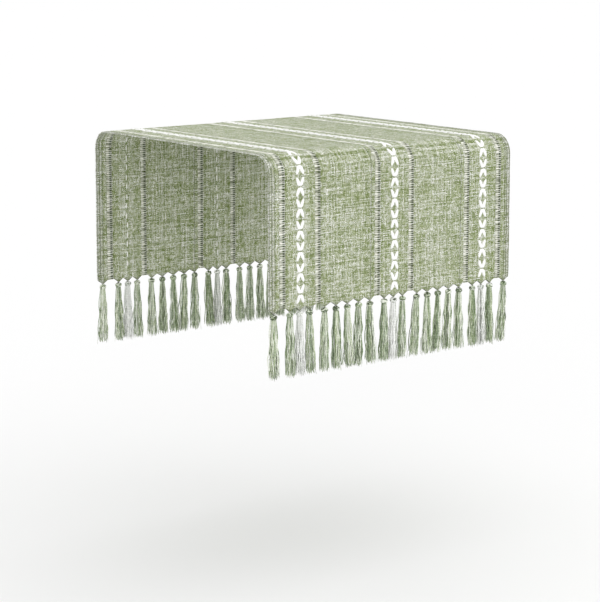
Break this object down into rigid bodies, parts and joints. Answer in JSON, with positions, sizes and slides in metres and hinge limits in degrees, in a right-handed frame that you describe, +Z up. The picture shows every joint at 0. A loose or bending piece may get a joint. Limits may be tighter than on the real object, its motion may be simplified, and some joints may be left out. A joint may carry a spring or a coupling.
{
  "type": "table runner",
  "caption": "Woven table runner with embroidered chains, ladder hemstitch stripes and a knotted tassel fringe, draped over the rounded edges of a small table.",
  "frame": {"origin": "middle of the underside of the flat top span, where it lies on the table", "axes": "+X across the cloth from selvedge to selvedge, +Y along the cloth towards the back drop, +Z up; the front drop hangs at -Y"},
  "size_m": [0.404, 0.4014, 0.2962],
  "materials": {
    "woven_cloth": "heathered sage-green plain weave, matt",
    "chain_yarn": "plump white cotton embroidery yarn",
    "ladder_yarn": "pale grey-green bundled threads with open gaps",
    "sage_fringe": "loose knotted warp yarn in mixed sage and grey",
    "white_fringe": "loose knotted warp yarn, mostly white"
  },
  "bodies": {
    "top": {"top_cloth": "woven_cloth", "top_chains": "chain_yarn", "top_ladders": "ladder_yarn"},
    "front_bend": {"front_bend_cloth": "woven_cloth", "front_bend_chains": "chain_yarn", "front_bend_ladders": "ladder_yarn"},
    "front_drop": {"front_drop_cloth": "woven_cloth", "front_drop_chains": "chain_yarn", "front_drop_ladders": "ladder_yarn"},
    "front_tassel_01": {"front_tassel_01": "sage_fringe"},
    "front_tassel_02": {"front_tassel_02": "sage_fringe"},
    "front_tassel_03": {"front_tassel_03": "white_fringe"},
    "front_tassel_04": {"front_tassel_04": "sage_fringe"},
    "front_tassel_05": {"front_tassel_05": "sage_fringe"},
    "front_tassel_06": {"front_tassel_06": "sage_fringe"},
    "front_tassel_07": {"front_tassel_07": "sage_fringe"},
    "front_tassel_08": {"front_tassel_08": "sage_fringe"},
    "front_tassel_09": {"front_tassel_09": "sage_fringe"},
    "front_tassel_10": {"front_tassel_10": "sage_fringe"},
    "front_tassel_11": {"front_tassel_11": "white_fringe"},
    "front_tassel_12": {"front_tassel_12": "sage_fringe"},
    "front_tassel_13": {"front_tassel_13": "sage_fringe"},
    "front_tassel_14": {"front_tassel_14": "sage_fringe"},
    "front_tassel_15": {"front_tassel_15": "sage_fringe"},
    "front_tassel_16": {"front_tassel_16": "sage_fringe"},
    "front_tassel_17": {"front_tassel_17": "sage_fringe"},
    "front_tassel_18": {"front_tassel_18": "sage_fringe"},
    "front_tassel_19": {"front_tassel_19": "white_fringe"},
    "front_tassel_20": {"front_tassel_20": "sage_fringe"},
    "front_tassel_21": {"front_tassel_21": "sage_fringe"},
    "back_bend": {"back_bend_cloth": "woven_cloth", "back_bend_chains": "chain_yarn", "back_bend_ladders": "ladder_yarn"},
    "back_drop": {"back_drop_cloth": "woven_cloth", "back_drop_chains": "chain_yarn", "back_drop_ladders": "ladder_yarn"},
    "back_tassel_01": {"back_tassel_01": "sage_fringe"},
    "back_tassel_02": {"back_tassel_02": "sage_fringe"},
    "back_tassel_03": {"back_tassel_03": "white_fringe"},
    "back_tassel_04": {"back_tassel_04": "sage_fringe"},
    "back_tassel_05": {"back_tassel_05": "sage_fringe"},
    "back_tassel_06": {"back_tassel_06": "sage_fringe"},
    "back_tassel_07": {"back_tassel_07": "sage_fringe"},
    "back_tassel_08": {"back_tassel_08": "sage_fringe"},
    "back_tassel_09": {"back_tassel_09": "sage_fringe"},
    "back_tassel_10": {"back_tassel_10": "sage_fringe"},
    "back_tassel_11": {"back_tassel_11": "white_fringe"},
    "back_tassel_12": {"back_tassel_12": "sage_fringe"},
    "back_tassel_13": {"back_tassel_13": "sage_fringe"},
    "back_tassel_14": {"back_tassel_14": "sage_fringe"},
    "back_tassel_15": {"back_tassel_15": "sage_fringe"},
    "back_tassel_16": {"back_tassel_16": "sage_fringe"},
    "back_tassel_17": {"back_tassel_17": "sage_fringe"},
    "back_tassel_18": {"back_tassel_18": "sage_fringe"},
    "back_tassel_19": {"back_tassel_19": "white_fringe"},
    "back_tassel_20": {"back_tassel_20": "sage_fringe"},
    "back_tassel_21": {"back_tassel_21": "sage_fringe"}
  },
  "joints": [
    {"name": "front_upper_fold", "type": "hinge", "parent": "top", "child": "front_bend", "pos_m": [0, -0.17924, -0.00049], "axis": [-1, 0, 0], "range_deg": [0, 45]},
    {"name": "front_lower_fold", "type": "hinge", "parent": "front_bend", "child": "front_drop", "pos_m": [0, -0.19301, -0.01426], "axis": [-1, 0, 0], "range_deg": [0, 45]},
    {"name": "front_tassel_01_swing", "type": "hinge", "parent": "front_drop", "child": "front_tassel_01", "pos_m": [-0.194, -0.1943, -0.199], "axis": [-1, 0, 0], "range_deg": [-80, 80]},
    {"name": "front_tassel_02_swing", "type": "hinge", "parent": "front_drop", "child": "front_tassel_02", "pos_m": [-0.1685, -0.1943, -0.199], "axis": [-1, 0, 0], "range_deg": [-80, 80]},
    {"name": "front_tassel_03_swing", "type": "hinge", "parent": "front_drop", "child": "front_tassel_03", "pos_m": [-0.153, -0.1943, -0.199], "axis": [-1, 0, 0], "range_deg": [-80, 80]},
    {"name": "front_tassel_04_swing", "type": "hinge", "parent": "front_drop", "child": "front_tassel_04", "pos_m": [-0.1375, -0.1943, -0.199], "axis": [-1, 0, 0], "range_deg": [-80, 80]},
    {"name": "front_tassel_05_swing", "type": "hinge", "parent": "front_drop", "child": "front_tassel_05", "pos_m": [-0.1135, -0.1943, -0.199], "axis": [-1, 0, 0], "range_deg": [-80, 80]},
    {"name": "front_tassel_06_swing", "type": "hinge", "parent": "front_drop", "child": "front_tassel_06", "pos_m": [-0.095, -0.1943, -0.199], "axis": [-1, 0, 0], "range_deg": [-80, 80]},
    {"name": "front_tassel_07_swing", "type": "hinge", "parent": "front_drop", "child": "front_tassel_07", "pos_m": [-0.0765, -0.1943, -0.199], "axis": [-1, 0, 0], "range_deg": [-80, 80]},
    {"name": "front_tassel_08_swing", "type": "hinge", "parent": "front_drop", "child": "front_tassel_08", "pos_m": [-0.058, -0.1943, -0.199], "axis": [-1, 0, 0], "range_deg": [-80, 80]},
    {"name": "front_tassel_09_swing", "type": "hinge", "parent": "front_drop", "child": "front_tassel_09", "pos_m": [-0.0395, -0.1943, -0.199], "axis": [-1, 0, 0], "range_deg": [-80, 80]},
    {"name": "front_tassel_10_swing", "type": "hinge", "parent": "front_drop", "child": "front_tassel_10", "pos_m": [-0.0155, -0.1943, -0.199], "axis": [-1, 0, 0], "range_deg": [-80, 80]},
    {"name": "front_tassel_11_swing", "type": "hinge", "parent": "front_drop", "child": "front_tassel_11", "pos_m": [0, -0.1943, -0.199], "axis": [-1, 0, 0], "range_deg": [-80, 80]},
    {"name": "front_tassel_12_swing", "type": "hinge", "parent": "front_drop", "child": "front_tassel_12", "pos_m": [0.0155, -0.1943, -0.199], "axis": [-1, 0, 0], "range_deg": [-80, 80]},
    {"name": "front_tassel_13_swing", "type": "hinge", "parent": "front_drop", "child": "front_tassel_13", "pos_m": [0.0395, -0.1943, -0.199], "axis": [-1, 0, 0], "range_deg": [-80, 80]},
    {"name": "front_tassel_14_swing", "type": "hinge", "parent": "front_drop", "child": "front_tassel_14", "pos_m": [0.058, -0.1943, -0.199], "axis": [-1, 0, 0], "range_deg": [-80, 80]},
    {"name": "front_tassel_15_swing", "type": "hinge", "parent": "front_drop", "child": "front_tassel_15", "pos_m": [0.0765, -0.1943, -0.199], "axis": [-1, 0, 0], "range_deg": [-80, 80]},
    {"name": "front_tassel_16_swing", "type": "hinge", "parent": "front_drop", "child": "front_tassel_16", "pos_m": [0.095, -0.1943, -0.199], "axis": [-1, 0, 0], "range_deg": [-80, 80]},
    {"name": "front_tassel_17_swing", "type": "hinge", "parent": "front_drop", "child": "front_tassel_17", "pos_m": [0.1135, -0.1943, -0.199], "axis": [-1, 0, 0], "range_deg": [-80, 80]},
    {"name": "front_tassel_18_swing", "type": "hinge", "parent": "front_drop", "child": "front_tassel_18", "pos_m": [0.1375, -0.1943, -0.199], "axis": [-1, 0, 0], "range_deg": [-80, 80]},
    {"name": "front_tassel_19_swing", "type": "hinge", "parent": "front_drop", "child": "front_tassel_19", "pos_m": [0.153, -0.1943, -0.199], "axis": [-1, 0, 0], "range_deg": [-80, 80]},
    {"name": "front_tassel_20_swing", "type": "hinge", "parent": "front_drop", "child": "front_tassel_20", "pos_m": [0.1685, -0.1943, -0.199], "axis": [-1, 0, 0], "range_deg": [-80, 80]},
    {"name": "front_tassel_21_swing", "type": "hinge", "parent": "front_drop", "child": "front_tassel_21", "pos_m": [0.194, -0.1943, -0.199], "axis": [-1, 0, 0], "range_deg": [-80, 80]},
    {"name": "back_upper_fold", "type": "hinge", "parent": "top", "child": "back_bend", "pos_m": [0, 0.17924, -0.00049], "axis": [1, 0, 0], "range_deg": [0, 45]},
    {"name": "back_lower_fold", "type": "hinge", "parent": "back_bend", "child": "back_drop", "pos_m": [0, 0.19301, -0.01426], "axis": [1, 0, 0], "range_deg": [0, 45]},
    {"name": "back_tassel_01_swing", "type": "hinge", "parent": "back_drop", "child": "back_tassel_01", "pos_m": [-0.194, 0.1943, -0.216], "axis": [1, 0, 0], "range_deg": [-80, 80]},
    {"name": "back_tassel_02_swing", "type": "hinge", "parent": "back_drop", "child": "back_tassel_02", "pos_m": [-0.1685, 0.1943, -0.216], "axis": [1, 0, 0], "range_deg": [-80, 80]},
    {"name": "back_tassel_03_swing", "type": "hinge", "parent": "back_drop", "child": "back_tassel_03", "pos_m": [-0.153, 0.1943, -0.216], "axis": [1, 0, 0], "range_deg": [-80, 80]},
    {"name": "back_tassel_04_swing", "type": "hinge", "parent": "back_drop", "child": "back_tassel_04", "pos_m": [-0.1375, 0.1943, -0.216], "axis": [1, 0, 0], "range_deg": [-80, 80]},
    {"name": "back_tassel_05_swing", "type": "hinge", "parent": "back_drop", "child": "back_tassel_05", "pos_m": [-0.1135, 0.1943, -0.216], "axis": [1, 0, 0], "range_deg": [-80, 80]},
    {"name": "back_tassel_06_swing", "type": "hinge", "parent": "back_drop", "child": "back_tassel_06", "pos_m": [-0.095, 0.1943, -0.216], "axis": [1, 0, 0], "range_deg": [-80, 80]},
    {"name": "back_tassel_07_swing", "type": "hinge", "parent": "back_drop", "child": "back_tassel_07", "pos_m": [-0.0765, 0.1943, -0.216], "axis": [1, 0, 0], "range_deg": [-80, 80]},
    {"name": "back_tassel_08_swing", "type": "hinge", "parent": "back_drop", "child": "back_tassel_08", "pos_m": [-0.058, 0.1943, -0.216], "axis": [1, 0, 0], "range_deg": [-80, 80]},
    {"name": "back_tassel_09_swing", "type": "hinge", "parent": "back_drop", "child": "back_tassel_09", "pos_m": [-0.0395, 0.1943, -0.216], "axis": [1, 0, 0], "range_deg": [-80, 80]},
    {"name": "back_tassel_10_swing", "type": "hinge", "parent": "back_drop", "child": "back_tassel_10", "pos_m": [-0.0155, 0.1943, -0.216], "axis": [1, 0, 0], "range_deg": [-80, 80]},
    {"name": "back_tassel_11_swing", "type": "hinge", "parent": "back_drop", "child": "back_tassel_11", "pos_m": [0, 0.1943, -0.216], "axis": [1, 0, 0], "range_deg": [-80, 80]},
    {"name": "back_tassel_12_swing", "type": "hinge", "parent": "back_drop", "child": "back_tassel_12", "pos_m": [0.0155, 0.1943, -0.216], "axis": [1, 0, 0], "range_deg": [-80, 80]},
    {"name": "back_tassel_13_swing", "type": "hinge", "parent": "back_drop", "child": "back_tassel_13", "pos_m": [0.0395, 0.1943, -0.216], "axis": [1, 0, 0], "range_deg": [-80, 80]},
    {"name": "back_tassel_14_swing", "type": "hinge", "parent": "back_drop", "child": "back_tassel_14", "pos_m": [0.058, 0.1943, -0.216], "axis": [1, 0, 0], "range_deg": [-80, 80]},
    {"name": "back_tassel_15_swing", "type": "hinge", "parent": "back_drop", "child": "back_tassel_15", "pos_m": [0.0765, 0.1943, -0.216], "axis": [1, 0, 0], "range_deg": [-80, 80]},
    {"name": "back_tassel_16_swing", "type": "hinge", "parent": "back_drop", "child": "back_tassel_16", "pos_m": [0.095, 0.1943, -0.216], "axis": [1, 0, 0], "range_deg": [-80, 80]},
    {"name": "back_tassel_17_swing", "type": "hinge", "parent": "back_drop", "child": "back_tassel_17", "pos_m": [0.1135, 0.1943, -0.216], "axis": [1, 0, 0], "range_deg": [-80, 80]},
    {"name": "back_tassel_18_swing", "type": "hinge", "parent": "back_drop", "child": "back_tassel_18", "pos_m": [0.1375, 0.1943, -0.216], "axis": [1, 0, 0], "range_deg": [-80, 80]},
    {"name": "back_tassel_19_swing", "type": "hinge", "parent": "back_drop", "child": "back_tassel_19", "pos_m": [0.153, 0.1943, -0.216], "axis": [1, 0, 0], "range_deg": [-80, 80]},
    {"name": "back_tassel_20_swing", "type": "hinge", "parent": "back_drop", "child": "back_tassel_20", "pos_m": [0.1685, 0.1943, -0.216], "axis": [1, 0, 0], "range_deg": [-80, 80]},
    {"name": "back_tassel_21_swing", "type": "hinge", "parent": "back_drop", "child": "back_tassel_21", "pos_m": [0.194, 0.1943, -0.216], "axis": [1, 0, 0], "range_deg": [-80, 80]}
  ],
  "couplings": [
    {"joint": "front_upper_fold", "follows": "front_lower_fold", "ratio": 1},
    {"joint": "back_upper_fold", "follows": "back_lower_fold", "ratio": 1}
  ]
}
